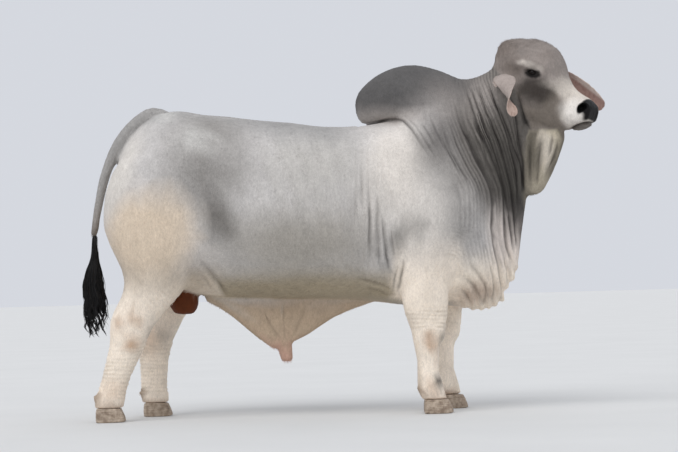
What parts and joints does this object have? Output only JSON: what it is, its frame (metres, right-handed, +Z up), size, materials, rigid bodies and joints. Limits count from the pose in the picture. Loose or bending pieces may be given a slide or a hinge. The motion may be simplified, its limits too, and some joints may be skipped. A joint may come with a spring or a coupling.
{
  "type": "zebu bull",
  "caption": "Life-size still model of a standing grey zebu bull with a shoulder hump, folded neck skin, hanging ears and a black tail switch.",
  "frame": {"origin": "on the floor under the middle of the whole model's bounding box", "axes": "+X forwards, the way the body faces; +Y to the animal's left; +Z up"},
  "size_m": [2.5418, 0.7718, 1.7537],
  "materials": {
    "horn": "satin horn",
    "leg_hide": "short pale hair",
    "eye_black": "glossy, dark",
    "head_hide": "short grey hair",
    "trunk_hide": "short grey hair",
    "hump_hide": "short dark grey hair",
    "neck_hide": "short dark grey hair over folded skin",
    "throat_hide": "short cream hair",
    "dewlap_hide": "short cream hair",
    "sheath_hide": "thin pink skin",
    "tail_hide": "short grey hair",
    "tail_hair": "long black hair",
    "nose_black": "bare black skin",
    "scrotum_skin": "bare skin",
    "ear_right": "thin skin with short hair",
    "ear_left": "thin skin with short hair"
  },
  "bodies": {
    "root": {"claw_fore_left_left": "horn", "claw_fore_left_right": "horn", "claw_fore_right_left": "horn", "claw_fore_right_right": "horn", "claw_hind_left_left": "horn", "claw_hind_left_right": "horn", "claw_hind_right_left": "horn", "claw_hind_right_right": "horn", "dewlap": "dewlap_hide", "ear_left": "ear_left", "ear_right": "ear_right", "eye_left": "eye_black", "eye_right": "eye_black", "head": "head_hide", "hump": "hump_hide", "leg_fore_left": "leg_hide", "leg_fore_right": "leg_hide", "leg_hind_left": "leg_hide", "leg_hind_right": "leg_hide", "neck": "neck_hide", "nose_pad": "nose_black", "scrotum": "scrotum_skin", "sheath": "sheath_hide", "tail": "tail_hide", "tail_switch": "tail_hair", "throat_flap": "throat_hide", "torso": "trunk_hide"}
  },
  "joints": []
}
